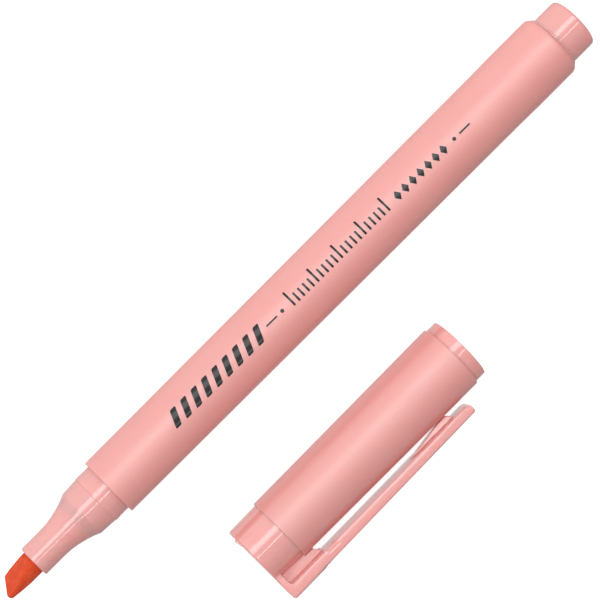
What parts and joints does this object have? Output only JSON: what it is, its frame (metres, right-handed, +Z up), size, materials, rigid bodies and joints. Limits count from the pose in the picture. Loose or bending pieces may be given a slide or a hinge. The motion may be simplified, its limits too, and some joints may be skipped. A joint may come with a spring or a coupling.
{
  "type": "highlighter",
  "caption": "Slim chisel-tip highlighter with matt barrel, tapered glossy section, felt nib, tail plug and a separate clip cap lying beside it.",
  "frame": {"origin": "middle of the lay-out's bounding box, on the surface that the pen and the cap lie on", "axes": "+X along the pen's axis from nib to tail, +Z up off the surface, the cap lies on the -Y side with its clip towards -Y"},
  "size_m": [0.1214, 0.037, 0.0112],
  "materials": {
    "matt_shell": "fine satin moulded polypropylene, pastel salmon pink",
    "gloss_shell": "polished moulded plastic, pastel salmon pink",
    "gloss_clip": "polished moulded plastic, pastel pink",
    "inked_felt": "bonded fibre nib soaked with orange-red ink",
    "inked_fibre": "bundled fibre soaked with ink",
    "film": "thin clear wrapping film",
    "seal": "soft moulded sealing plastic",
    "print_ink": "thin black pad-printed ink"
  },
  "bodies": {
    "pen": {"barrel": "matt_shell", "section": "gloss_shell", "nib": "inked_felt", "filler_core": "inked_fibre", "filler_film": "film", "tail_plug": "gloss_shell"},
    "cap": {"cap_sleeve": "matt_shell", "cap_liner": "gloss_shell", "seal_cup": "seal", "cap_crown": "gloss_clip"},
    "clip": {"clip_blade": "gloss_clip"}
  },
  "joints": [
    {"name": "cap_slide", "type": "slide", "parent": "pen", "child": "cap", "axis": [1, 0, 0], "range_m": [-0.0746, 0]},
    {"name": "clip_flex", "type": "hinge", "parent": "cap", "child": "clip", "pos_m": [-0.02149, -0.01738, 0.00562], "axis": [0, 0, -1], "range_deg": [0, 4], "stiffness_Nm_per_rad": 1}
  ]
}
